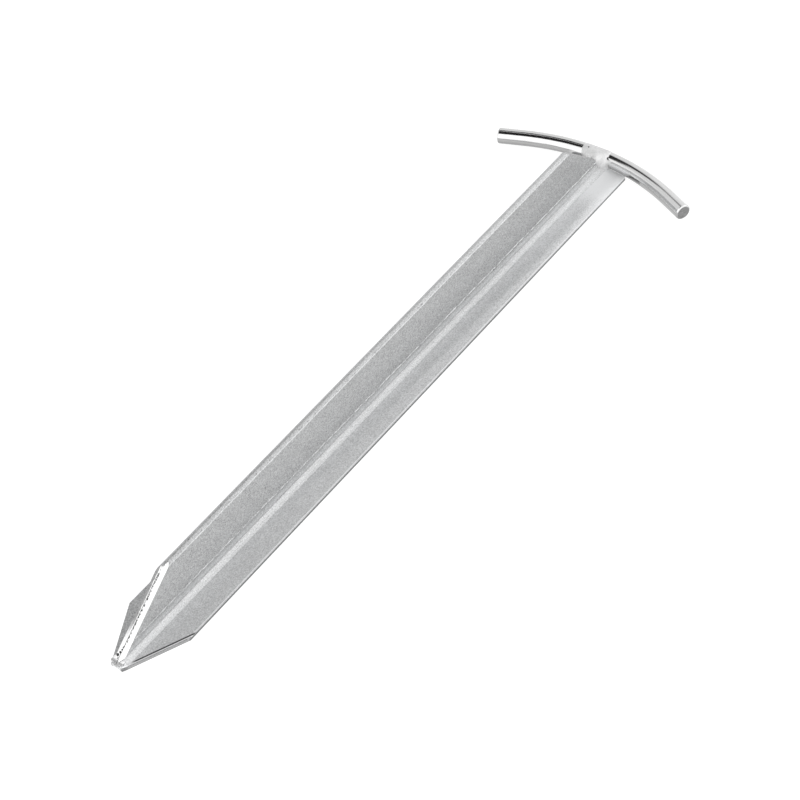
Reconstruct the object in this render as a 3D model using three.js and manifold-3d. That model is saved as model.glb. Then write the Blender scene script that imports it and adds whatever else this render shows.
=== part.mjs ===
// Tent stake: a T-section blade folded from one strip of steel sheet, with a bent round rod
// welded across its top end as the handle. It lies on the back of its flange.
// +X runs along the blade from the point to the handle, +Z up the web. Millimetres.
// Every piece is drawn with the point at x = 0, and the whole stake is then centred on x = 0.
import * as THREE from 'three';
import { mergeVertices } from 'three/addons/utils/BufferGeometryUtils.js';
import Module from 'manifold-3d';

// overall
const overallLength = 300; // point to the outside of the handle rod
const weldingGap = 0.3; // clearance kept between pieces that are welded together

// folded sheet
const sheetThickness = 1.5;
const seamGap = 0.2; // slit left between the two layers of the web
const bendRadius = 2; // inside radius where the web turns out into each flange
const webHeight = 24.4; // flange back to the fold, at the point
const nearFlangeReach = 14; // middle of the web to the flange edge, at the point
const farFlangeReach = 15;
const foldDrift = 1.2; // the web gains this and each flange loses it by the handle end

// point
const pointHalfWidth = 2.5;
const pointHeight = 2.5;
const flangeTaperLength = 23.7;
const webTaperLength = 30.8;

// handle end of the blade
const webRakeLength = 22.8; // how far the web's end leans back from the rod at the fold
const webEndHeight = 4; // height where the rake starts
const flangeCornerRadius = 1.5;

// handle
const rodDiameter = 6.5;
const handleSpan = 90; // between the centres of the rod's two end faces
const handleBendRadius = 95; // to the middle of the rod
const handleArmAngle = 21.5; // degrees that each straight arm leans toward the point

// weld: a cap run over the top of the rod, and a toe that fills the corner of web and flange.
// Offsets are from the middle of the rod, and covers are what stands past the rod's radius.
const capLength = 14;
const capSideCover = 1.15;
const capTopCover = 0.65;
const capOffset = { back: 1.3, side: 3.5, up: 0.95 };
const toeSize = { x: 8.4, y: 10, z: 6 };
const toeOffset = { back: 1.25, side: 0.5, up: 0.6 }; // back from the rod's inner side

const wasm = await Module();
wasm.setup();

const halfWeb = seamGap / 2 + sheetThickness;
const bendCentre = { y: halfWeb + bendRadius, z: sheetThickness + bendRadius };
const rodRadius = rodDiameter / 2;
const rodHeight = rodRadius; // the rod lies on the same plane as the flange's back
const rodPlaceX = overallLength - rodRadius;

// The blade ends where the wider flange's upper edge, at its corner, would meet the bent rod.
const widerReach = Math.max(nearFlangeReach, farFlangeReach) - foldDrift - flangeCornerRadius;
const rodTouch = Math.sqrt(rodRadius ** 2 - (rodHeight - sheetThickness) ** 2) + weldingGap;
const rodFallsAway = handleBendRadius - Math.sqrt((handleBendRadius - rodTouch) ** 2 - widerReach ** 2);
const bladeLength = rodPlaceX - rodFallsAway;

function solidFrom(geometry) {
  const bare = geometry.clone();
  bare.deleteAttribute('normal');
  bare.deleteAttribute('uv');
  const merged = mergeVertices(bare, 1e-4);
  return new wasm.Manifold(new wasm.Mesh({
    numProp: 3,
    vertProperties: new Float32Array(merged.attributes.position.array),
    triVerts: new Uint32Array(merged.index.array),
  }));
}

function geometryFrom(solid) {
  const mesh = solid.getMesh();
  const geometry = new THREE.BufferGeometry();
  geometry.setAttribute('position', new THREE.BufferAttribute(new Float32Array(mesh.vertProperties), 3));
  geometry.setIndex(new THREE.BufferAttribute(new Uint32Array(mesh.triVerts), 1));
  geometry.computeVertexNormals();
  return geometry;
}

// The back of the fold: each flange rolls up into the web and the slit runs on up to the fold.
function drawSeam(shape, foldCentre) {
  const outerRadius = bendRadius + sheetThickness;
  shape.absarc(-bendCentre.y, bendCentre.z, outerRadius, -0.5 * Math.PI, 0, false);
  shape.absarc(0, foldCentre, seamGap / 2, Math.PI, 0, true);
  shape.absarc(bendCentre.y, bendCentre.z, outerRadius, Math.PI, 1.5 * Math.PI, false);
}

// Folded section in (y, z). grow thickens it outward and closes the seam, for clearances.
function bladeSection(grow) {
  const foldCentre = webHeight - halfWeb;
  const innerRadius = bendRadius - grow;
  const shape = new THREE.Shape();
  shape.moveTo(farFlangeReach + grow, 0);
  shape.lineTo(farFlangeReach + grow, sheetThickness + grow);
  shape.absarc(bendCentre.y, bendCentre.z, innerRadius, 1.5 * Math.PI, Math.PI, true);
  shape.absarc(0, foldCentre, halfWeb + grow, 0, Math.PI, false);
  shape.absarc(-bendCentre.y, bendCentre.z, innerRadius, 0, -0.5 * Math.PI, true);
  shape.lineTo(-nearFlangeReach - grow, sheetThickness + grow);
  shape.lineTo(-nearFlangeReach - grow, 0);
  if (grow === 0) drawSeam(shape, foldCentre);
  shape.closePath();
  return shape;
}

// Section swept along +X. By the handle end the flange edges have moved in and the fold up.
function sweptSection(grow) {
  const sweep = new THREE.ExtrudeGeometry(bladeSection(grow), {
    depth: bladeLength + grow, bevelEnabled: false, curveSegments: 8,
  });
  const place = sweep.attributes.position;
  for (let i = 0; i < place.count; i += 1) {
    const across = place.getX(i);
    const height = place.getY(i);
    const along = place.getZ(i);
    const drift = foldDrift * along / bladeLength;
    const onFlangeEdge = Math.abs(across) > bendCentre.y + sheetThickness;
    const onFold = height > webHeight / 2;
    const y = onFlangeEdge ? across - Math.sign(across) * drift : across;
    const z = onFold ? height + drift : height;
    place.setXYZ(i, along, y, z);
  }
  return solidFrom(sweep);
}

// Flat pattern of the flanges seen from above: the point and the rounded corners.
function planCut() {
  const nearEnd = nearFlangeReach - foldDrift;
  const farEnd = farFlangeReach - foldDrift;
  const corner = flangeCornerRadius;
  const margin = 1;
  const shape = new THREE.Shape();
  shape.moveTo(0, pointHalfWidth);
  shape.lineTo(0, -pointHalfWidth);
  shape.lineTo(flangeTaperLength, -nearFlangeReach);
  shape.lineTo(flangeTaperLength, -nearFlangeReach - margin);
  shape.lineTo(bladeLength - corner, -nearFlangeReach - margin);
  shape.lineTo(bladeLength - corner, -nearEnd);
  shape.absarc(bladeLength - corner, corner - nearEnd, corner, -0.5 * Math.PI, 0, false);
  shape.absarc(bladeLength - corner, farEnd - corner, corner, 0, 0.5 * Math.PI, false);
  shape.lineTo(bladeLength - corner, farFlangeReach + margin);
  shape.lineTo(flangeTaperLength, farFlangeReach + margin);
  shape.lineTo(flangeTaperLength, farFlangeReach);
  shape.closePath();
  const slab = new THREE.ExtrudeGeometry(shape, {
    depth: webHeight + foldDrift + 2 * margin, bevelEnabled: false, curveSegments: 6,
  });
  slab.translate(0, 0, -margin);
  return solidFrom(slab);
}

// Side view of the web: tapered to the point, raked back at the handle.
function sideCut(grow) {
  const fold = webHeight + foldDrift;
  const margin = 1;
  const rake = webRakeLength / (fold - webEndHeight);
  const shape = new THREE.Shape();
  shape.moveTo(0, -margin);
  shape.lineTo(bladeLength + grow, -margin);
  shape.lineTo(bladeLength + grow, webEndHeight + grow);
  shape.lineTo(bladeLength + grow - rake * (fold + margin - webEndHeight), fold + margin + grow);
  shape.lineTo(webTaperLength * (1 + margin / (webHeight - pointHeight)), webHeight + margin);
  shape.lineTo(0, pointHeight);
  shape.closePath();
  const width = 2 * (farFlangeReach + margin);
  const slab = new THREE.ExtrudeGeometry(shape, { depth: width, bevelEnabled: false });
  slab.rotateX(0.5 * Math.PI);
  slab.translate(0, width / 2, 0);
  return solidFrom(slab);
}

// Rod's middle line: a long arc over the blade's end with a straight arm at each side.
class HandleLine extends THREE.Curve {
  getPoint(t, target = new THREE.Vector3()) {
    const angle = THREE.MathUtils.degToRad(handleArmAngle);
    const bendReach = handleBendRadius * Math.sin(angle);
    const arm = (handleSpan / 2 - bendReach) / Math.cos(angle);
    const bend = handleBendRadius * angle;
    const travel = (2 * t - 1) * (bend + arm);
    const turned = THREE.MathUtils.clamp(travel / handleBendRadius, -angle, angle);
    const beyond = travel - turned * handleBendRadius;
    const x = rodPlaceX - handleBendRadius * (1 - Math.cos(turned)) - Math.abs(beyond) * Math.sin(angle);
    const y = handleBendRadius * Math.sin(turned) + beyond * Math.cos(angle);
    return target.set(x, y, rodHeight);
  }
}

function bentRod(radius) {
  const round = new THREE.Shape();
  round.absarc(0, 0, radius, 0, 2 * Math.PI, false);
  return solidFrom(new THREE.ExtrudeGeometry(round, {
    extrudePath: new HandleLine(), steps: 44, curveSegments: 12, bevelEnabled: false,
  }));
}

function ellipsoid(size, back, side, up) {
  const ball = new THREE.SphereGeometry(0.5, 32, 20);
  ball.rotateX(0.5 * Math.PI);
  ball.scale(size.x, size.y, size.z);
  ball.translate(rodPlaceX - back, side, rodHeight + up);
  return solidFrom(ball);
}

// One weld, cut clear of the rod, of the web's raked end and of the flanges under it.
function weldBead() {
  const capSize = { x: rodDiameter + 2 * capSideCover, y: capLength, z: rodDiameter + 2 * capTopCover };
  const cap = ellipsoid(capSize, capOffset.back, capOffset.side, capOffset.up);
  const toe = ellipsoid(toeSize, rodRadius + toeOffset.back, toeOffset.side, toeOffset.up);
  const flangeTop = sheetThickness + weldingGap;
  const above = new THREE.BoxGeometry(overallLength, handleSpan, webHeight);
  above.translate(overallLength, 0, flangeTop + webHeight / 2);
  return cap
    .add(toe)
    .intersect(solidFrom(above))
    .subtract(bentRod(rodRadius + weldingGap))
    .subtract(sweptSection(weldingGap).intersect(sideCut(weldingGap)));
}

const galvanised = { color: 0xb4b6b8, roughness: 0.45, metalness: 0.9 };
const brightZinc = { color: 0xc4c6c8, roughness: 0.22, metalness: 1 };
const weldMetal = { color: 0xc8c9c9, roughness: 0.7, metalness: 0.6 };

function piece(name, solid, finish) {
  const mesh = new THREE.Mesh(geometryFrom(solid), new THREE.MeshStandardMaterial(finish));
  mesh.name = name;
  return mesh;
}

const stake = new THREE.Group();
stake.add(piece('blade', sweptSection(0).intersect(planCut()).intersect(sideCut(0)), galvanised));
stake.add(piece('handle_rod', bentRod(rodRadius), brightZinc));
stake.add(piece('weld_bead', weldBead(), weldMetal));
stake.position.x = -overallLength / 2;

export default stake;
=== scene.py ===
import math

import bpy
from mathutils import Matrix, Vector


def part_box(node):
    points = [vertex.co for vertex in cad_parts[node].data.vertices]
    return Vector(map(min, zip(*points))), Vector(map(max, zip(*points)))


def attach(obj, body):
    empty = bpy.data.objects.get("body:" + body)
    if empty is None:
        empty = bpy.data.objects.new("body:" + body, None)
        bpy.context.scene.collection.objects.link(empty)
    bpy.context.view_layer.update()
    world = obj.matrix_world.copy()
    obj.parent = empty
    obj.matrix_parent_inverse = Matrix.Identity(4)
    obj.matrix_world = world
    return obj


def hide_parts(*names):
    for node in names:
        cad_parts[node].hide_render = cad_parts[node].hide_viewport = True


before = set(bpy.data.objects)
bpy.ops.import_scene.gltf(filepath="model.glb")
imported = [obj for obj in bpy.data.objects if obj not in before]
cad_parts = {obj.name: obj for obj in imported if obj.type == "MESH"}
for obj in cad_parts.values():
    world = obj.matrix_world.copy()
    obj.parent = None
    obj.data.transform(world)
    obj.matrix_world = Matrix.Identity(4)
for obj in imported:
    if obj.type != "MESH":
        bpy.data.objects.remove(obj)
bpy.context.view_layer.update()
mm = 0.001  # sizes below are in millimetres and metres are Blender's unit
hair = 0.01  # two places this close count as the same
onCutWithin = 0.02  # a corner this close to a cut lies on it
mergeWithin = 0.002
cutMergeWithin = 0.0005
smoothUnder = 32  # degrees between faces that are shaded as one surface
print("stake frame loaded")


def clearSelection():
    if bpy.context.mode != "OBJECT":
        bpy.ops.object.mode_set(mode="OBJECT")
    bpy.ops.object.select_all(action="DESELECT")


def workOn(*things):
    clearSelection()
    for thing in things:
        thing.select_set(True)
    bpy.context.view_layer.objects.active = things[0]


def pick(thing, kind, wanted):
    # wanted gets the corner points of each corner, edge or face in mm, and a face's normal too
    bpy.ops.object.mode_set(mode="EDIT")
    bpy.ops.mesh.select_mode(type=kind)
    bpy.ops.mesh.select_all(action="DESELECT")
    bpy.ops.object.mode_set(mode="OBJECT")
    mesh = thing.data
    points = [corner.co / mm for corner in mesh.vertices]
    if kind == "VERT":
        for corner in mesh.vertices:
            corner.select = wanted(points[corner.index])
    elif kind == "EDGE":
        for edge in mesh.edges:
            edge.select = wanted(*[points[i] for i in edge.vertices])
    else:
        for face in mesh.polygons:
            face.select = wanted([points[i] for i in face.vertices], face.normal)
    bpy.ops.object.mode_set(mode="EDIT")


def newPiece(name):
    thing = bpy.context.active_object
    thing.name = name
    thing.data.name = name
    bpy.ops.object.transform_apply(location=True, rotation=True, scale=True)
    return thing


def addModifier(thing, kind, **settings):
    modifier = thing.modifiers.new(kind.lower(), kind)
    for name, value in settings.items():
        setattr(modifier, name, value)
    bpy.ops.object.modifier_apply(modifier=modifier.name)


def joinTo(thing, lump):
    workOn(thing, lump)
    bpy.ops.object.join()


def coatFaces(thing, slot, wanted):
    # the picked faces take the material in that slot
    pick(thing, "FACE", wanted)
    thing.active_material_index = slot
    bpy.ops.object.material_slot_assign()
    bpy.ops.object.mode_set(mode="OBJECT")


def finishMesh(thing, smoothAngle=smoothUnder):
    workOn(thing)
    bpy.ops.object.mode_set(mode="EDIT")
    bpy.ops.mesh.select_all(action="SELECT")
    bpy.ops.mesh.remove_doubles(threshold=mergeWithin * mm)
    bpy.ops.mesh.normals_make_consistent(inside=False)
    bpy.ops.object.mode_set(mode="OBJECT")
    bpy.ops.object.shade_smooth_by_angle(angle=math.radians(smoothAngle))
    print(thing.name, "has", len(thing.data.polygons), "faces")


class Wire:
    # a shader socket that can be used in sums

    def __init__(self, finish, socket):
        self.finish = finish
        self.socket = socket

    def maths(self, operation, *others):
        return self.finish.node("Math", {"operation": operation}, (self, *others))

    def __add__(self, other):
        return self.maths("ADD", other)

    __radd__ = __add__

    def __sub__(self, other):
        return self.maths("SUBTRACT", other)

    def __rsub__(self, other):
        return self.finish.node("Math", {"operation": "SUBTRACT"}, (other, self))

    def __mul__(self, other):
        return self.maths("MULTIPLY", other)

    __rmul__ = __mul__

    def above(self, other):
        return self.maths("MAXIMUM", other)

    def size(self):
        return self.maths("ABSOLUTE")

    def ramp(self, low, high):
        # 0 at low and 1 at high, smoothly
        settings = {"interpolation_type": "SMOOTHSTEP"}
        return self.finish.node("MapRange", settings, (self, low, high, 0, 1))

    def line(self, middle, halfWidth):
        # 1 on the line, 0 past its half width and soft over the outer two thirds
        return 1 - (self - middle).size().ramp(0.3 * halfWidth, halfWidth)

    def centred(self):
        # a noise runs from 0 to 1, and this puts its middle at 0
        return self - 0.5


class Finish:
    # one material, or the world, and the nodes in it

    def __init__(self, name, world=False):
        self.owner = bpy.data.worlds.new(name) if world else bpy.data.materials.new(name)
        self.owner.use_nodes = True
        self.tree = self.owner.node_tree
        self.shader = self.tree.nodes["Background" if world else "Principled BSDF"]

    def node(self, kind, setup=None, sockets=(), output=0):
        made = self.tree.nodes.new("ShaderNode" + kind)
        for name, value in (setup or {}).items():
            setattr(made, name, value)
        pairs = sockets.items() if isinstance(sockets, dict) else enumerate(sockets)
        for name, value in pairs:
            self.plug(value, made.inputs[name])
        return Wire(self, made.outputs[output])

    def plug(self, value, socket):
        if isinstance(value, Wire):
            self.tree.links.new(value.socket, socket)
        else:
            socket.default_value = value

    def set(self, **values):
        for name, value in values.items():
            self.plug(value, self.shader.inputs[name.replace("_", " ")])

    def millimetres(self):
        place = self.node("TexCoord", output="Object")
        scaled = self.node("VectorMath", {"operation": "SCALE"}, {0: place, "Scale": 1 / mm})
        parts = [self.node("SeparateXYZ", sockets=(scaled,), output=i) for i in range(3)]
        return scaled, parts

    def distance(self, place, point):
        settings = {"operation": "DISTANCE"}
        return self.node("VectorMath", settings, (place, tuple(point)), output="Value")

    def noise(self, place, scale, detail=2, roughness=0.5):
        values = {"Vector": place, "Scale": scale, "Detail": detail, "Roughness": roughness}
        return self.node("TexNoise", sockets=values)

    def stretch(self, parts, factors):
        return self.node("CombineXYZ", sockets=[part * f for part, f in zip(parts, factors)])

    def blendColour(self, amount, first, second):
        sockets = {0: amount, 6: first, 7: second}  # the Mix node's factor and its two colours
        return self.node("Mix", {"data_type": "RGBA"}, sockets, output=2)

    def bump(self, height, strength, distance):
        values = {"Strength": strength, "Distance": distance * mm, "Height": height}
        return self.node("Bump", sockets=values)


def grey(value, warm=0.0):
    return (value * (1 + warm), value, value * (1 - warm), 1)


camera = {
    "place": (-427.46, -445.37, 665.96),
    "turn": (42.131, 7.093, -52.165),  # degrees
    "lens": 108.84,
    "clipStart": 10,
}
bpy.ops.object.camera_add(
    location=[v * mm for v in camera["place"]],
    rotation=[math.radians(v) for v in camera["turn"]],
)
stakeCamera = bpy.context.active_object
stakeCamera.name = "stakeCamera"
stakeCamera.data.lens = camera["lens"]
stakeCamera.data.clip_start = camera["clipStart"] * mm
bpy.context.scene.camera = stakeCamera
bpy.context.scene.view_settings.view_transform = "Standard"

studio = {
    "wallLight": 0.95,
    "frontLight": 1.6,
    "frontSide": (-0.8, -0.6, 0),  # where the camera stands
    "frontBlend": (-0.3, 0.5),
    "floorSize": 6000,
    "floorTone": 0.22,
    "floorGlow": 0.9,
    "floorRoughness": 0.9,
    # each patch: middle and long direction in the tent, half length, half width, light, soft edge
    "patches": (
        ((-0.14, 0.26, 0.95), (0.93, 0.37, 0.0), 0.35, 0.20, 0.02, 0.1),
        ((0.29, 0.465, 0.835), (0.98, -0.14, 0.0), 0.24, 0.09, 0.02, 0.35),
        ((-0.10, 0.49, 0.865), (1.0, -0.06, 0.0), 0.26, 0.05, 0.02, 0.35),
        ((0.80, -0.38, 0.50), (0.3, 0.9, 0.0), 0.55, 0.45, 1.6, 0.6),
    ),
}


def makeStudio():
    # a white tent round the table, with dark gaps in its ceiling and a lamp at the handle's side
    room = Finish("tentLight", world=True)
    bpy.context.scene.world = room.owner
    toward = room.node("TexCoord", output="Generated")

    def share(direction):
        settings = {"operation": "DOT_PRODUCT"}
        return room.node("VectorMath", settings, (toward, tuple(direction)), output="Value")

    extra = studio["frontLight"] - studio["wallLight"]
    light = studio["wallLight"] + share(studio["frontSide"]).ramp(*studio["frontBlend"]) * extra
    for middle, direction, halfLength, halfWidth, patchLight, edge in studio["patches"]:
        centre = Vector(middle).normalized()
        across = centre.cross(Vector(direction)).normalized()
        along = across.cross(centre)
        reachAlong = share(along / halfLength)
        reachAcross = share(across / halfWidth)
        reach = (reachAlong * reachAlong + reachAcross * reachAcross).maths("SQRT")
        sameSide = share(centre).ramp(0, 0.1)  # none on the opposite wall
        patch = (1 - reach.ramp(1 - edge, 1 + edge)) * sameSide
        light = light + patch * (patchLight - light)
    room.set(Color=grey(1), Strength=light)

    clearSelection()
    bpy.ops.mesh.primitive_plane_add(size=studio["floorSize"] * mm)
    floor = newPiece("paleTable")
    pale = Finish("paleTableTop")
    pale.set(
        Base_Color=grey(studio["floorTone"]),
        Roughness=studio["floorRoughness"],
        Emission_Color=grey(1),
        Emission_Strength=studio["floorGlow"],
    )
    floor.data.materials.append(pale.owner)


makeStudio()
print("camera and studio set")


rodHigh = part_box("handle_rod")[1] / mm

rod = {
    "radius": 3.25,
    "span": 90,
    "bendRadius": 95,
    "armAngle": 21.5,
    "sides": 48,
    "bendSteps": 20,
    "endRound": 0.55,
    "endSteps": 4,
    "greys": (0.18, 0.95),  # darkest and palest zinc
    "roughness": 0.1,
    "sawnGreys": (0.06, 0.36),
    "sawnMetal": 0.6,
    "sawnRoughness": 0.55,
    "paintedHighlight": (-12, 4.6),  # y and z of the painted highlight beside the near flange
    "paintedReflectionPatch": (-18, 3.7),  # and of the painted dark reflection just outside it
}
rodBendX = rodHigh.x - rod["radius"] - rod["bendRadius"]  # middle of the bend

bladeLow, bladeHigh = [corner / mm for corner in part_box("blade")]

blade = {
    "thickness": 1.5,
    "slit": 0.2,
    "bendRadius": 2,  # inside
    "bendSteps": 10,
    "foldSteps": 12,
    "besideBend": 0.3,  # narrow strips that keep the flat faces evenly shaded
    "rodTouch": 2.76,  # the flanges end against the rod, this far from its middle line
    "nearReach": 14,
    "farReach": 15,
    "webHeight": 24.4,
    "drift": 1.19,  # the fold gains this and each flange loses it by the handle end
    "ridgeHeight": 7.2,  # press line along the web above the bend
    "ridgeRise": 0.05,
    "ridgeSlope": 0.25,
    "ridgeCrest": 0.2,
    "spareLength": 2,  # trimmed off again to the rod's curve
    "pointHalfWidth": 2.5,
    "pointHeight": 2.5,
    "flangeTaper": 23.7,
    "webTaper": 30.8,
    "rakeLength": 21.8,
    "rakeFoot": 4,
    "rakeShift": 0.9,  # the foot of the web's end is run in under the weld
    "cornerRadius": 0.6,
    "cornerSteps": 5,
    "endCuts": 5,  # short straight cuts on each side of the middle one that follow the rod
    "endCutTurn": 1.7,  # degrees from each to the next
    "chamferReach": (1.1, 1.6),  # back from the sheared edge, at the root and at the fold
    # what is pressed in, in turn: how deep, between which heights, and beyond which y
    "pressed": (
        (0.5, 3, 23, -1.58), (0.3, 3, 8, -0.5), (0.3, 23, 30, -1.3), (0.125, 23, 30, -0.7),
    ),
    "tipRoll": 1.3,  # rounding of the sheared edges at the point
    "tipRollSteps": 4,
    "flangeRoll": 0.45,
    "rakeRoll": 1.0,
    "rollSteps": 3,
    "edgeRound": 0.22,
    "edgeSteps": 2,
    "sharpOver": 38,  # degrees between the faces of an edge that is rounded
    "slitReach": 0.4,  # edges this close to the middle belong to the slit
    # middle from the point, size and seed of each lump of crushed metal
    "crushed": (
        ((1.75, 0.0, 1.45), (3.3, 4.5, 2.7), 5),
        ((1.7, 1.75, 2.9), (2.6, 1.5, 1.9), 7),
        ((1.5, -1.6, 2.6), (2.2, 1.4, 1.5), 9),
    ),
    "crushedRound": 0.3,  # share of each lump's least side
    "crushedJitter": 0.15,
    # middle and size of each dark void at the foot of the point's cut
    "voids": (((-147.0, 0.95, 4.5), 0.75), ((-146.1, 0.5, 5.3), 0.6), ((-145.2, 0.25, 5.9), 0.4)),
    "bendEdge": (3.7, 3.5),  # y and z where the painted highlight inside each bend ends
    "underLine": 6.6,  # heights of the painted shade lines and of the ripples along the foot of the web
    "lowLine": 3.9,
    "rippleHeight": 6.2,
    "taperHighlightIn": 0.52,  # distances in from the near taper's edge
    "taperDarkLineIn": 1.02,
    "byWeld": (116, 142),  # x where the zone by the weld starts and where it is full
    "greys": (0.1, 0.78),  # darkest and palest zinc on the rolled faces
    "cutGreys": (0.15, 0.95),
    "deepGrey": 0.03,  # painted dark lines and reflections, and the taper's darker sheared face
    "voidGrey": 0.02,
    "warmth": -0.008,
    "metal": 0.8,
    "roughness": 0.4,
    "cutMetal": 0.35,
    "cutRoughness": 0.45,
}
halfWeb = blade["slit"] / 2 + blade["thickness"]


def cutPlanes():
    # a point and the outward direction of each cut: near and far taper, web's slope, web's rake
    tip = bladeLow.x
    half = blade["pointHalfWidth"]
    taper = blade["flangeTaper"]
    webRise = blade["webHeight"] - blade["pointHeight"]
    rakeRise = blade["webHeight"] + blade["drift"] - blade["rakeFoot"]
    rakeX = bladeHigh.x + blade["rakeShift"]
    return (
        ((tip, -half, 0), (half - blade["nearReach"], -taper, 0)),
        ((tip, half, 0), (half - blade["farReach"], taper, 0)),
        ((tip, 0, blade["pointHeight"]), (-webRise, 0, blade["webTaper"])),
        ((rakeX, 0, blade["rakeFoot"]), (rakeRise, 0, blade["rakeLength"])),
    )


def foldBlade():
    # the strip's middle layer is folded up first and then given its thickness
    thick = blade["thickness"]
    bendY = halfWeb + blade["bendRadius"]
    bendZ = thick + blade["bendRadius"]
    foldZ = blade["webHeight"] - halfWeb
    beside = blade["besideBend"]
    length = bladeHigh.x + blade["spareLength"] - bladeLow.x
    middleX = bladeLow.x + length / 2
    flat = blade["nearReach"] - bendY - beside

    clearSelection()
    bpy.ops.mesh.primitive_plane_add(
        size=1,
        location=(middleX * mm, -(bendY + beside + flat / 2) * mm, thick / 2 * mm),
    )
    bpy.context.active_object.scale = (length * mm, flat * mm, 1)
    thing = newPiece("bladeSheet")

    def bend(y, z, degrees, steps):
        # with no window, spin turns the other way
        bpy.ops.mesh.spin(
            steps=steps, angle=-math.radians(degrees),
            center=(0, y * mm, z * mm), axis=(1, 0, 0),
        )

    def run(y, z):
        bpy.ops.mesh.extrude_region_move(TRANSFORM_OT_translate={"value": (0, y * mm, z * mm)})

    def innerEdge(a, b):
        return max(a.y, b.y) > -bendY - beside - hair and abs(a.y - b.y) < hair

    ridge = blade["ridgeHeight"]
    slope = blade["ridgeSlope"]
    halfRidge = slope + blade["ridgeCrest"] / 2
    pick(thing, "EDGE", innerEdge)
    run(beside, 0)
    bend(-bendY, bendZ, 90, blade["bendSteps"])
    run(0, beside)
    run(0, ridge - halfRidge - bendZ - 2 * beside)
    run(0, beside)
    run(-blade["ridgeRise"], slope)
    run(0, blade["ridgeCrest"])
    run(blade["ridgeRise"], slope)
    run(0, beside)
    run(0, foldZ - ridge - halfRidge - 2 * beside)
    run(0, beside)
    bend(0, foldZ, -180, blade["foldSteps"])
    run(0, -beside)
    run(0, bendZ - foldZ + 2 * beside)
    run(0, -beside)
    bend(bendY, bendZ, 90, blade["bendSteps"])
    run(beside, 0)
    run(blade["farReach"] - bendY - beside, 0)

    # the flange edges move in and the fold moves up by the handle end
    drift = blade["drift"] * mm
    pastBend = bendY + 1
    for atPlace, move in (
        (lambda p: p.y < -pastBend, (0, drift, 0)),
        (lambda p: p.y > pastBend, (0, -drift, 0)),
        (lambda p: p.z > foldZ - beside - hair, (0, 0, drift)),
    ):
        pick(thing, "VERT", lambda p: p.x > middleX and atPlace(p))
        bpy.ops.transform.translate(value=move)
    bpy.ops.object.mode_set(mode="OBJECT")
    addModifier(thing, "SOLIDIFY", thickness=thick * mm, offset=0, use_even_offset=True)
    print("blade folded")
    return thing


def shear(thing, point, normal):
    bpy.ops.object.mode_set(mode="EDIT")
    bpy.ops.mesh.select_mode(type="FACE")
    bpy.ops.mesh.select_all(action="SELECT")
    bpy.ops.mesh.bisect(
        plane_co=[v * mm for v in point], plane_no=Vector(normal).normalized(),
        use_fill=True, clear_outer=True, threshold=cutMergeWithin * mm,
    )
    bpy.ops.object.mode_set(mode="OBJECT")


def onPlane(p, point, normal, within=onCutWithin):
    return abs((p - Vector(point)).dot(Vector(normal).normalized())) < within


def rollEdges(thing, size, steps, wanted):
    pick(thing, "EDGE", wanted)
    bpy.ops.mesh.bevel(offset=size * mm, segments=steps, affect="EDGES", clamp_overlap=True)
    bpy.ops.object.mode_set(mode="OBJECT")


def trimToRod(thing):
    # the end follows the inside of the bent rod, in short straight cuts
    endRadius = rod["bendRadius"] - blade["rodTouch"]
    for step in range(-blade["endCuts"], blade["endCuts"] + 1):
        turn = math.radians(step * blade["endCutTurn"])
        outX, outY = math.cos(turn), math.sin(turn)
        shear(thing, (rodBendX + endRadius * outX, endRadius * outY, 0), (outX, outY, 0))


def cutBlade(thing):
    nearCut, farCut, tipCut, rakeCut = cutPlanes()
    for point, normal in (nearCut, farCut, tipCut, rakeCut):
        shear(thing, point, normal)
    trimToRod(thing)

    cornerZone = 0.2
    nearCorner = blade["nearReach"] - blade["drift"] - cornerZone
    farCorner = blade["farReach"] - blade["drift"] - cornerZone

    def flangeCorner(a, b):
        upright = abs(a.z - b.z) > 1 and abs(a.x - b.x) < hair
        atEnd = a.x > bladeHigh.x - 0.5
        return upright and atEnd and (a.y < -nearCorner or a.y > farCorner)

    rollEdges(thing, blade["cornerRadius"], blade["cornerSteps"], flangeCorner)

    def edgeOf(cut, axis, level, within):
        # the edges that a cut makes with the face at that y or z
        def wanted(*ends):
            return all(onPlane(p, *cut) and abs(p[axis] - level) < within for p in ends)
        return wanted

    rollEdges(thing, blade["tipRoll"], blade["tipRollSteps"], edgeOf(tipCut, 1, halfWeb, 0.03))
    for side in (-halfWeb, halfWeb):
        rollEdges(thing, blade["rakeRoll"], blade["rollSteps"], edgeOf(rakeCut, 1, side, 0.03))
    pressChamfer(thing, tipCut)
    for cut in (nearCut, farCut):
        top = edgeOf(cut, 2, blade["thickness"], onCutWithin)
        rollEdges(thing, blade["flangeRoll"], blade["rollSteps"], top)
    roundSheetEdges(thing)
    finishMesh(thing)


def pressChamfer(thing, tipCut):
    # a line is scored on the web's near face, and the sheared edge beyond it is pressed in
    outward = Vector(tipCut[1]).normalized()
    rootReach, foldReach = blade["chamferReach"]
    scored = Vector(tipCut[0]) - outward * rootReach
    taperTop = Vector((bladeLow.x + blade["webTaper"], 0, blade["webHeight"]))
    scoredTop = taperTop - outward * foldReach
    scoreNormal = Vector((0, 1, 0)).cross(scored - scoredTop).normalized()

    aboveBend = blade["thickness"] + blade["bendRadius"] - 0.05

    def nearFace(corners, normal):
        return all(p.y < -0.3 and p.z > aboveBend for p in corners)

    pick(thing, "FACE", nearFace)
    bpy.ops.mesh.bisect(plane_co=scored * mm, plane_no=scoreNormal, threshold=cutMergeWithin * mm)
    bpy.ops.object.mode_set(mode="OBJECT")
    outside = -halfWeb - 0.2
    for depth, low, high, side in blade["pressed"]:
        def isPressed(p):
            return onPlane(p, *tipCut) and low < p.z < high and outside < p.y < side

        pick(thing, "VERT", isPressed)
        bpy.ops.transform.translate(value=(0, depth * mm, 0))
        bpy.ops.object.mode_set(mode="OBJECT")


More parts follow.
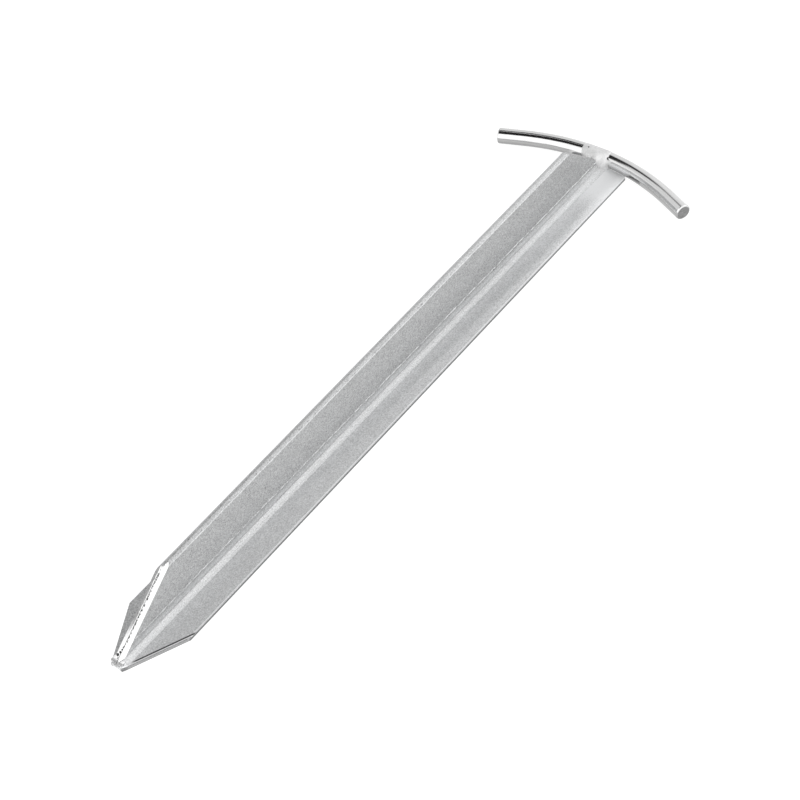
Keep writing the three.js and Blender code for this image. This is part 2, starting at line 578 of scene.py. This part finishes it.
def roundSheetEdges(thing):
    # every sharp edge but those of the slit, which are too fine to round
    workOn(thing)
    bpy.ops.object.mode_set(mode="EDIT")
    bpy.ops.mesh.select_mode(type="EDGE")
    bpy.ops.mesh.select_all(action="DESELECT")
    bpy.ops.mesh.edges_select_sharp(sharpness=math.radians(blade["sharpOver"]))
    bpy.ops.object.mode_set(mode="OBJECT")
    corners = thing.data.vertices
    for edge in thing.data.edges:
        if all(abs(corners[i].co.y) < blade["slitReach"] * mm for i in edge.vertices):
            edge.select = False
    bpy.ops.object.mode_set(mode="EDIT")
    # clamping would let the shortest edge flatten them all
    bpy.ops.mesh.bevel(
        offset=blade["edgeRound"] * mm, segments=blade["edgeSteps"],
        affect="EDGES", clamp_overlap=False,
    )
    bpy.ops.object.mode_set(mode="OBJECT")


def markCuts(thing):
    # the web's sheared faces and their rolled edges take the second finish
    tipCut, rakeCut = cutPlanes()[2:]
    reaches = ((tipCut, blade["chamferReach"][1]), (rakeCut, blade["rakeRoll"] + 0.2))
    flangeTop = blade["thickness"] + 0.4
    besideWeb = halfWeb + 1.4

    def isCut(corners, normal):
        centre = sum(corners, Vector()) / len(corners)
        onWeb = centre.z >= flangeTop and abs(centre.y) <= besideWeb
        facesTip = normal.x < -0.85
        if facesTip or not onWeb:
            return False
        for cut, reach in reaches:
            facing = normal.dot(Vector(cut[1]).normalized()) > 0.12
            if facing and onPlane(centre, *cut, within=reach):
                return True
        return False

    coatFaces(thing, 1, isCut)


def zincCut():
    coat = Finish("zincCut")
    place, (x, y, z) = coat.millimetres()
    grain = coat.noise(place, 1.9, detail=3, roughness=0.65)
    lumps = coat.noise(place, 0.8)
    ragged = lumps.centred() * 2.4
    toPoint = x.ramp(100, -100)
    seamSpots = coat.noise(place, 1.3, detail=3, roughness=0.7).ramp(0.46, 0.54)
    seamPlace = z.ramp(4, 12) * -0.35 + z.ramp(8, 3) * 0.4
    seam = (y + ragged * 0.35 - seamPlace).line(0, 0.42) * seamSpots * toPoint
    for voidPlace, voidSize in blade["voids"]:
        reach = coat.distance(place, voidPlace) + ragged * 0.12
        seam = seam.above(reach.ramp(voidSize, voidSize * 0.6))
    # the far layer is darker but for its foot, and so is the very end of the point
    farLayer = (y + ragged * 0.3).ramp(0.3, 0.55) * z.ramp(7, 13) * toPoint
    endBand = (x + ragged * 0.25 - bladeLow.x).ramp(1.7, 1.2)
    darkened = farLayer.above(endBand * 0.85)
    shade = 0.24 + 0.68 * toPoint - darkened * 0.76 + grain.centred() * (0.35 + darkened * 0.3)
    darkest, palest = blade["cutGreys"]
    light = coat.blendColour(shade, grey(darkest, blade["warmth"]), grey(palest))
    coat.set(
        Base_Color=coat.blendColour(seam, light, grey(blade["voidGrey"])),
        Metallic=blade["cutMetal"],
        Roughness=blade["cutRoughness"],
        Normal=coat.bump(lumps + grain * 0.4, 0.5, 0.25),
    )
    return coat.owner


def zincSheet():
    coat = Finish("zincSheet")
    place, (x, y, z) = coat.millimetres()
    grain = coat.noise(place, 2.3, detail=3, roughness=0.75)
    cloud = coat.noise(place, 0.18, detail=3)

    def streaked(factors, **settings):
        return coat.noise(coat.stretch((x, y, z), factors), 1, **settings)

    wander = streaked((0.12, 0.02, 0.02), detail=3).centred()
    dashes = streaked((0.55, 0.1, 2.2)).ramp(0.44, 0.54)
    toHandle = x.ramp(-120, 120)
    atHandle = x.ramp(60, 145)
    fromPoint = x - bladeLow.x

    # the inside of each bend is painted with a highlight, and the press line above it with a
    # dashed painted highlight
    bendY, bendZ = blade["bendEdge"]
    besideWeb = (y.size() - bendY - 0.3 * wander).ramp(0.08, -0.08)
    inBend = besideWeb * (z - bendZ - 1.2 * wander).ramp(0.08, -0.08)
    inBend = inBend * (fromPoint + grain.centred() * 2).ramp(1.6, 2.2)
    wavyZ = z + wander * 0.8
    press = wavyZ.line(blade["ridgeHeight"], 0.5) * dashes * (0.4 + 0.6 * toHandle)
    # underLine and lowLine are painted shade lines just below the press line and just above the
    # bend
    underLine = wavyZ.line(blade["underLine"], 0.3) * toHandle
    ripples = streaked((0.5, 0.1, 1.4), detail=3, roughness=0.65).centred()
    rippled = (z + wander).line(blade["rippleHeight"], 3.2) * ripples
    lowLine = (z + wander * 1.6).line(blade["lowLine"], 0.3) * (1 - inBend)
    # painted light: the foot of the web is painted paler
    lowWeb = z.ramp(7.6, 4.2) * (1 - inBend) * y.size().ramp(1.9, 1.7)
    # the near flange alone is painted paler, more toward the handle, by the weld and beside its
    # bend
    onFlange = (y + bendY).ramp(0.1, -0.1) * z.ramp(3, 2)

    # the fold is painted paler, with dark flecks of painted reflection and a painted highlight
    # line where the flat face starts
    drift = fromPoint * (blade["drift"] / (bladeHigh.x - bladeLow.x))
    foldRise = z - drift - (blade["webHeight"] - halfWeb) + wander * 0.3
    onFold = foldRise.ramp(0.6, 0.75)
    flecks = streaked((0.8, 1.5, 1.5), detail=3, roughness=0.7).ramp(0.52, 0.66)
    foldHighlight = foldRise.line(0.65, 0.22)
    foldReflectionFlecks = flecks * foldRise.line(1.05, 0.4) * (1 - 0.5 * toHandle)

    # painted highlights and painted dark lines along the edges of the near taper and of the near
    # flange
    taperWidth = blade["nearReach"] - blade["pointHalfWidth"]
    taperRun = Vector((blade["flangeTaper"], taperWidth, 0)).normalized()
    fromTaper = fromPoint * taperRun.y + (y + blade["pointHalfWidth"]) * taperRun.x
    onTop = z.ramp(1.2, 1.4)
    taperHighlight = fromTaper.line(blade["taperHighlightIn"], 0.26) * onTop
    taperDarkLine = fromTaper.line(blade["taperDarkLineIn"], 0.46) * onTop * fromPoint.ramp(4.0, 6.0)
    taperFace = fromTaper.ramp(0.34, 0.24)
    byWeld = x.ramp(*blade["byWeld"])  # rougher and less metallic by the weld, where the near flange is also painted paler
    nearEdge = y + blade["nearReach"] - drift
    edgeHighlight = nearEdge.line(0.35, 0.25) * z.ramp(1.0, 1.4)
    edgeShade = nearEdge.ramp(0.25, 0.1) * z.ramp(1.35, 1.0)

    shade = 0.42 + grain.centred() * 1.5 + cloud.centred() * 0.1 + rippled * 0.5
    # painted highlight inside the bends
    shade = shade + inBend * (0.24 - 0.05 * toHandle + 0.15 * atHandle)
    shade = shade + press - underLine * 0.2 - lowLine * 0.1 + lowWeb * 0.36
    shade = shade + onFlange * (0.24 + 0.2 * atHandle + 0.45 * byWeld)
    shade = shade + onFold * (0.06 + 0.1 * toHandle) + foldHighlight * 0.3
    shade = shade + onFlange * y.ramp(-9, -4) * 0.08 + taperHighlight * 0.8 + edgeHighlight * 0.5
    dark = (taperDarkLine * 0.97).above(edgeShade * 0.75).above(foldReflectionFlecks * 0.6).above(taperFace * 0.42)
    darkest, palest = [grey(value, blade["warmth"]) for value in blade["greys"]]
    light = coat.blendColour(shade, darkest, palest)
    dulled = inBend * 0.08 + byWeld * 0.25 + grain.centred() * 0.15
    coat.set(
        Base_Color=coat.blendColour(dark, light, grey(blade["deepGrey"])),
        Metallic=blade["metal"] - inBend * 0.3 - byWeld * 0.4,
        Roughness=blade["roughness"] + dulled,
        Normal=coat.bump(grain, 0.4, 0.06),
    )
    return coat.owner


def fillPoint(thing):
    # crushed metal that closes the notch between the two layers at the point
    tip = bladeLow.x
    for place, size, seed in blade["crushed"]:
        clearSelection()
        middle = (tip + place[0], *place[1:])
        bpy.ops.mesh.primitive_cube_add(size=1, location=[v * mm for v in middle])
        bpy.context.active_object.scale = [v * mm for v in size]
        lump = newPiece("crushedPoint")
        bpy.ops.object.mode_set(mode="EDIT")
        bpy.ops.mesh.select_all(action="SELECT")
        rounding = blade["crushedRound"] * min(size) * mm
        bpy.ops.mesh.bevel(offset=rounding, segments=3, affect="EDGES")
        bpy.ops.mesh.select_all(action="SELECT")
        bpy.ops.mesh.subdivide(number_cuts=1)
        bpy.ops.object.mode_set(mode="OBJECT")
        pick(lump, "VERT", lambda p: p.z > 1.2 and p.x > tip + 0.5)
        bpy.ops.transform.vertex_random(offset=blade["crushedJitter"] * mm, seed=seed)
        bpy.ops.object.mode_set(mode="OBJECT")
        joinTo(thing, lump)


def makeBlade():
    thing = foldBlade()
    cutBlade(thing)
    fillPoint(thing)
    workOn(thing)
    bpy.ops.object.shade_smooth_by_angle(angle=math.radians(smoothUnder))
    thing.data.materials.clear()
    thing.data.materials.append(zincSheet())
    thing.data.materials.append(zincCut())
    markCuts(thing)
    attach(thing, "root")
    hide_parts("blade")


makeBlade()
print("blade made")


def makeRod():
    radius = rod["radius"]
    angle = math.radians(rod["armAngle"])
    bendReach = rod["bendRadius"] * math.sin(angle)
    arm = (rod["span"] / 2 - bendReach) / math.cos(angle)
    startX = rodBendX + rod["bendRadius"] * math.cos(angle) - arm * math.sin(angle)
    clearSelection()
    bpy.ops.mesh.primitive_circle_add(
        vertices=rod["sides"], radius=radius * mm, fill_type="NGON",
        location=(startX * mm, -rod["span"] / 2 * mm, radius * mm),
        rotation=(math.pi / 2, 0, -angle),
    )
    thing = newPiece("handleRod")

    def runArm(side):
        step = Vector((-side * math.sin(angle), math.cos(angle), 0)) * arm * mm
        bpy.ops.mesh.extrude_region_move(TRANSFORM_OT_translate={"value": step})

    pick(thing, "FACE", lambda corners, normal: True)
    runArm(-1)
    bpy.ops.mesh.spin(
        steps=rod["bendSteps"], angle=-2 * angle,
        center=(rodBendX * mm, 0, radius * mm), axis=(0, 0, 1),
    )
    runArm(1)
    bpy.ops.object.mode_set(mode="OBJECT")
    finishMesh(thing)

    def onEndFace(a, b):
        side = 1 if a.y > 0 else -1
        outward = (-math.sin(angle), side * math.cos(angle), 0)
        centre = (startX, side * rod["span"] / 2, radius)
        return onPlane(a, centre, outward) and onPlane(b, centre, outward)

    rollEdges(thing, rod["endRound"], rod["endSteps"], onEndFace)
    finishMesh(thing)
    thing.data.materials.append(zincRod())
    thing.data.materials.append(sawnEnd())
    # only the two end faces have more than four corners
    coatFaces(thing, 1, lambda corners, normal: len(corners) > 4)
    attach(thing, "root")
    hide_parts("handle_rod")


def zincRod():
    coat = Finish("zincRod")
    place, (x, y, z) = coat.millimetres()
    angle = math.radians(rod["armAngle"])
    outX = x - rodBendX
    # how far a point stands out from the rod's middle line, in plan
    onArm = outX * math.cos(angle) + y.size() * math.sin(angle)
    onBend = (outX * outX + y * y).maths("SQRT")
    straight = (y.size() - outX * math.tan(angle)).ramp(-0.1, 0.1)
    out = onBend + (onArm - onBend) * straight - rod["bendRadius"]
    drawn = coat.node("CombineXYZ", sockets=(out, y * 0.05, z))
    streaks = coat.noise(drawn, 2.6, detail=3, roughness=0.6)
    fine = coat.noise(place, 2.4, detail=3)
    # painted shade underneath past the flanges, with painted dark reflection lines along it
    pastFlanges = 0.25 + 0.75 * y.size().ramp(12, 15)
    under = (z + streaks.centred() * 0.8).ramp(4.7, 4.2) * pastFlanges
    # painted shade along the very bottom of the rod, where its contact shadow would be
    lowest = z.ramp(2.6, 1.2)
    # marks here are painted dark reflection lines at two heights along the rod
    marks = (z + fine.centred() * 0.2).line(4.25, 0.16).above(z.line(2.6, 0.2))
    marks = marks * (0.5 + 0.5 * streaks)
    # a painted highlight on the rod beside the near flange
    paintedHighlightY, paintedHighlightZ = rod["paintedHighlight"]
    paintedHighlight = z.line(paintedHighlightZ, 1.1) * y.line(paintedHighlightY, 14)
    # a painted dark reflection on the rod just outside the near flange
    paintedReflectionPatchY, paintedReflectionPatchZ = rod["paintedReflectionPatch"]
    paintedReflectionPatch = (y + fine.centred() * 2).line(paintedReflectionPatchY, 3.8) * z.line(paintedReflectionPatchZ, 1.0)
    shade = 0.62 + streaks.centred() * 0.3 + fine.centred() * 0.1 + paintedHighlight * 0.45
    shade = shade - under * 0.34 - lowest * 0.3 - marks * 0.2 - paintedReflectionPatch * 0.9
    darkest, palest = [grey(value) for value in rod["greys"]]
    coat.set(
        Base_Color=coat.blendColour(shade, darkest, palest),
        Metallic=1.0,
        Roughness=rod["roughness"] + streaks.centred() * 0.12,
        Normal=coat.bump(streaks + fine * 0.3, 0.2, 0.05),
    )
    return coat.owner


def sawnEnd():
    coat = Finish("sawnEnd")
    place, (x, y, z) = coat.millimetres()
    marks = coat.noise(coat.stretch((x, y, z), (0.9, 0.3, 3.2)), 1, detail=3, roughness=0.6)
    grain = coat.noise(place, 2.0)
    shade = 0.5 + marks.centred() * 0.8 + grain.centred() * 0.3
    darkest, palest = [grey(value) for value in rod["sawnGreys"]]
    coat.set(
        Base_Color=coat.blendColour(shade, darkest, palest),
        Metallic=rod["sawnMetal"],
        Roughness=rod["sawnRoughness"],
        Normal=coat.bump(marks, 0.5, 0.15),
    )
    return coat.owner


makeRod()
print("handle rod made")


weld = {
    "sleeveRadius": 3.6,
    "sleeveBack": 0.5,
    "sleeveUp": 0.35,
    "sleeveSides": 40,
    "sleeveRound": 1.6,
    "sleeveSteps": 4,
    "from": -3.6,
    "to": 10.2,
    "farTaper": 0.86,
    # each lump: middle from the rod's middle line, size, and lean about Y in degrees
    "lumps": (
        ((-3.1, -0.2, -1.3), (6.6, 8.6, 4.6), 0),
        ((-3.2, -0.9, 1.0), (7.0, 6.6, 7.0), 0),
        ((-4.1, -0.4, 2.2), (5.6, 5.6, 10.5), -42),
        ((-1.9, 3.2, 0.9), (6.6, 10.5, 6.2), 0),
    ),
    "voxel": 0.28,
    "smoothing": 30,
    "smoothUnder": 60,
    "lowest": 0.3,  # flat below, so it doesn't come out under the flange
    "shortOfRod": 0.02,  # and behind, so it doesn't stand past the rod
    "greys": (0.04, 0.95),
    "metal": 0.45,
    "roughness": 0.5,
    # place from the rod's middle line and size of each pinhole
    "pits": (
        ((-2.2, -3.5, 2.6), 0.5), ((-3.0, -3.5, 0.2), 0.45), ((-3.8, -3.3, -0.9), 0.35),
        ((-2.6, 2.4, 3.4), 0.3), ((-1.0, 6.6, 3.6), 0.28),
    ),
}


def makeWeld():
    rodX = rodHigh.x - rod["radius"]
    clearSelection()
    middle = (
        rodX - weld["sleeveBack"],
        (weld["from"] + weld["to"]) / 2,
        rod["radius"] + weld["sleeveUp"],
    )
    bpy.ops.mesh.primitive_cylinder_add(
        vertices=weld["sleeveSides"], radius=weld["sleeveRadius"] * mm,
        depth=(weld["to"] - weld["from"]) * mm,
        location=[v * mm for v in middle], rotation=(math.pi / 2, 0, 0),
    )
    thing = newPiece("weldBead")
    pick(thing, "VERT", lambda p: p.y > weld["to"] - hair)
    bpy.ops.transform.resize(value=(weld["farTaper"], 1, weld["farTaper"]))
    rollEdges(thing, weld["sleeveRound"], weld["sleeveSteps"], lambda a, b: abs(a.y - b.y) < hair)
    for (px, py, pz), size, lean in weld["lumps"]:
        clearSelection()
        bpy.ops.mesh.primitive_uv_sphere_add(
            segments=32, ring_count=20, radius=0.5 * mm,
            location=((rodX + px) * mm, py * mm, (rod["radius"] + pz) * mm),
            rotation=(0, math.radians(lean), 0),
        )
        bpy.context.active_object.scale = size
        joinTo(thing, newPiece("weldLump"))
    addModifier(thing, "REMESH", mode="VOXEL", voxel_size=weld["voxel"] * mm)
    addModifier(thing, "SMOOTH", factor=0.5, iterations=weld["smoothing"])
    shear(thing, (0, 0, weld["lowest"]), (0, 0, -1))
    shear(thing, (rodHigh.x - weld["shortOfRod"], 0, 0), (1, 0, 0))
    finishMesh(thing, weld["smoothUnder"])
    thing.data.materials.clear()
    thing.data.materials.append(weldMetal())
    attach(thing, "root")
    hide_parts("weld_bead")


def weldMetal():
    coat = Finish("weldMetal")
    place, (x, y, z) = coat.millimetres()
    grain = coat.noise(place, 1.5, detail=3, roughness=0.6)
    lumps = coat.noise(place, 0.45)
    rodPlace = Vector((rodHigh.x - rod["radius"], 0, rod["radius"]))
    shade = 0.66 + grain.centred() * 0.3 + lumps.centred() * 0.12
    for pitPlace, pitSize in weld["pits"]:
        reach = coat.distance(place, rodPlace + Vector(pitPlace)) + grain.centred() * 0.3
        shade = shade - reach.ramp(1.5 * pitSize, pitSize)
    darkest, palest = [grey(value) for value in weld["greys"]]
    coat.set(
        Base_Color=coat.blendColour(shade, darkest, palest),
        Metallic=weld["metal"],
        Roughness=weld["roughness"],
        Normal=coat.bump(lumps + grain * 0.25, 0.35, 0.3),
    )
    return coat.owner


makeWeld()
print("weld made")
